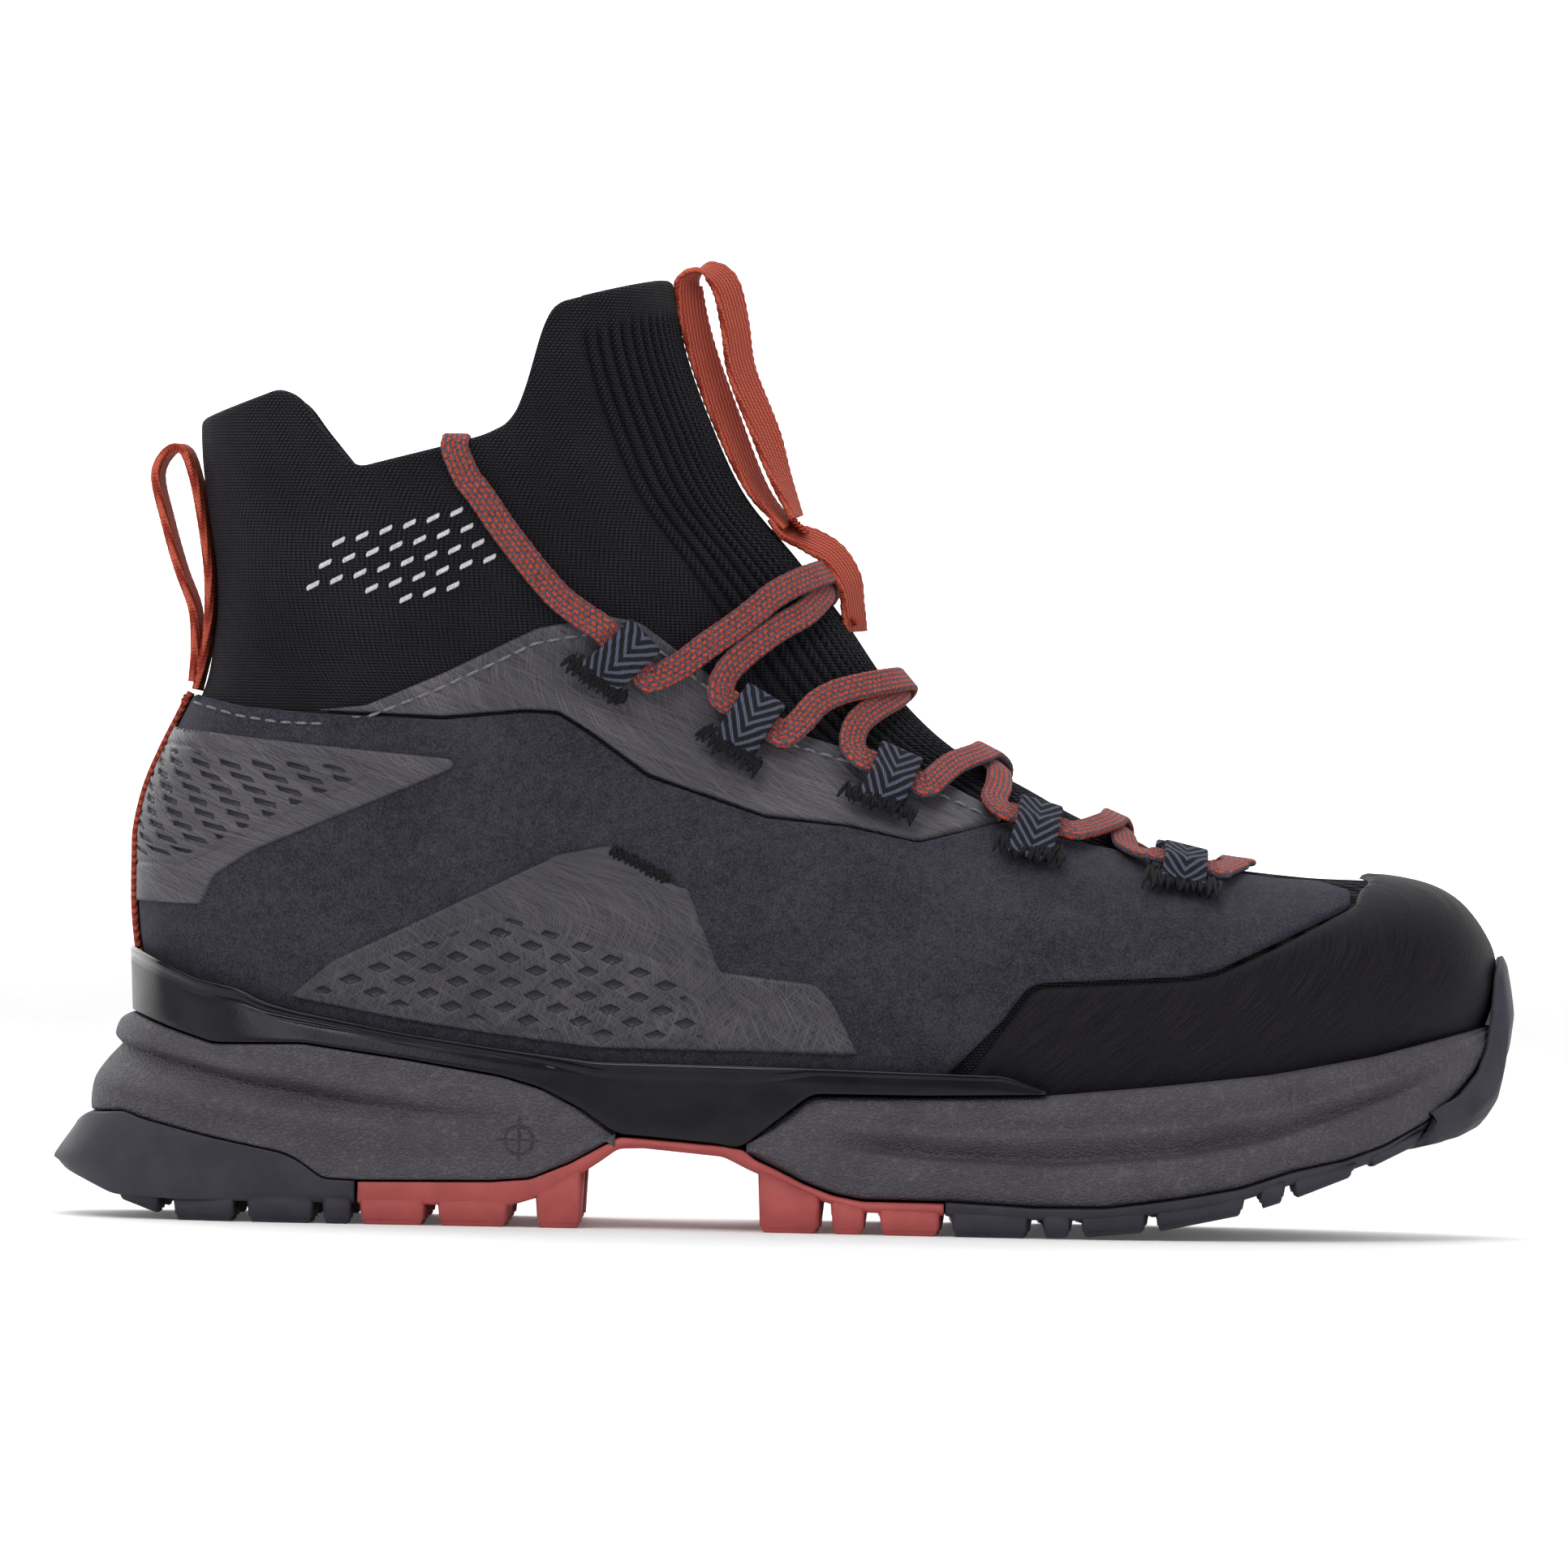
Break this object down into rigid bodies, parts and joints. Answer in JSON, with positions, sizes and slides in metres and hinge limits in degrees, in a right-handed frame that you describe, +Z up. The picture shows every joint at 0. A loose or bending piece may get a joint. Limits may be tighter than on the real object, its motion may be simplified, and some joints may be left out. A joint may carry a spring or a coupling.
{
  "type": "hiking boot",
  "caption": "Mid-height lace-up hiking boot with a knit bootee upper, suede and film overlays, moulded heel chassis and a lugged two-part sole.",
  "frame": {"origin": "centre of the boot's bounding box in X and Y, at the ground under the sole", "axes": "+X towards the toe, +Y towards the inner side of the right foot, +Z up"},
  "size_m": [0.3054, 0.1098, 0.2001],
  "materials": {
    "black_knit": "ribbed and plain knit with small pale dashes",
    "lining_mesh": "soft mesh",
    "fibre_board": "pressed fibre",
    "slate_suede": "napped suede",
    "black_film": "matte film with a fine diagonal weave",
    "grey_film": "hatched film with embossed marks",
    "black_plastic": "satin moulded TPU with a glossy lip",
    "grey_foam": "matte moulded EVA foam with a fine grain",
    "dark_rubber": "matte",
    "red_rubber": "matte",
    "slate_webbing": "coarse chevron webbing",
    "red_webbing": "twill webbing",
    "woven_lace": "flat braided lace"
  },
  "bodies": {
    "boot": {"knit_upper": "black_knit", "lining": "lining_mesh", "insole_board": "fibre_board", "heel_counter": "fibre_board", "toe_puff": "fibre_board", "heel_midsole": "grey_foam", "forefoot_midsole": "grey_foam", "suede_overlay": "slate_suede", "toe_rand": "black_film", "top_quarter_lateral": "grey_film", "mid_window_lateral": "grey_film", "heel_window_lateral": "grey_film", "lace_loop_lateral_1": "slate_webbing", "lace_loop_lateral_2": "slate_webbing", "lace_loop_lateral_3": "slate_webbing", "lace_loop_lateral_4": "slate_webbing", "lace_loop_lateral_5": "slate_webbing", "top_quarter_medial": "grey_film", "mid_window_medial": "grey_film", "heel_window_medial": "grey_film", "lace_loop_medial_1": "slate_webbing", "lace_loop_medial_2": "slate_webbing", "lace_loop_medial_3": "slate_webbing", "lace_loop_medial_4": "slate_webbing", "lace_loop_medial_5": "slate_webbing", "chassis": "black_plastic", "heel_outsole": "dark_rubber", "forefoot_outsole": "dark_rubber", "midfoot_outsole": "red_rubber", "heel_tape": "red_webbing", "lace_keeper": "red_webbing", "lace": "woven_lace"},
    "heel_loop": {"heel_pull_loop": "red_webbing"},
    "tongue_loop": {"tongue_pull_loop": "red_webbing"},
    "insole": {"footbed": "grey_foam"}
  },
  "joints": [
    {"name": "heel_loop_swing", "type": "hinge", "parent": "boot", "child": "heel_loop", "pos_m": [-0.124, 0.00199, 0.11], "axis": [0, -1, 0], "range_deg": [0, 50], "stiffness_Nm_per_rad": 0.006},
    {"name": "tongue_loop_swing", "type": "hinge", "parent": "boot", "child": "tongue_loop", "pos_m": [-0.0001, 0.00199, 0.1462], "axis": [0, 1, 0], "range_deg": [0, 90], "stiffness_Nm_per_rad": 0.006},
    {"name": "footbed_lift", "type": "hinge", "parent": "boot", "child": "insole", "pos_m": [0.1293, 0.00199, 0.04], "axis": [0, 1, 0], "range_deg": [0, 5]}
  ]
}
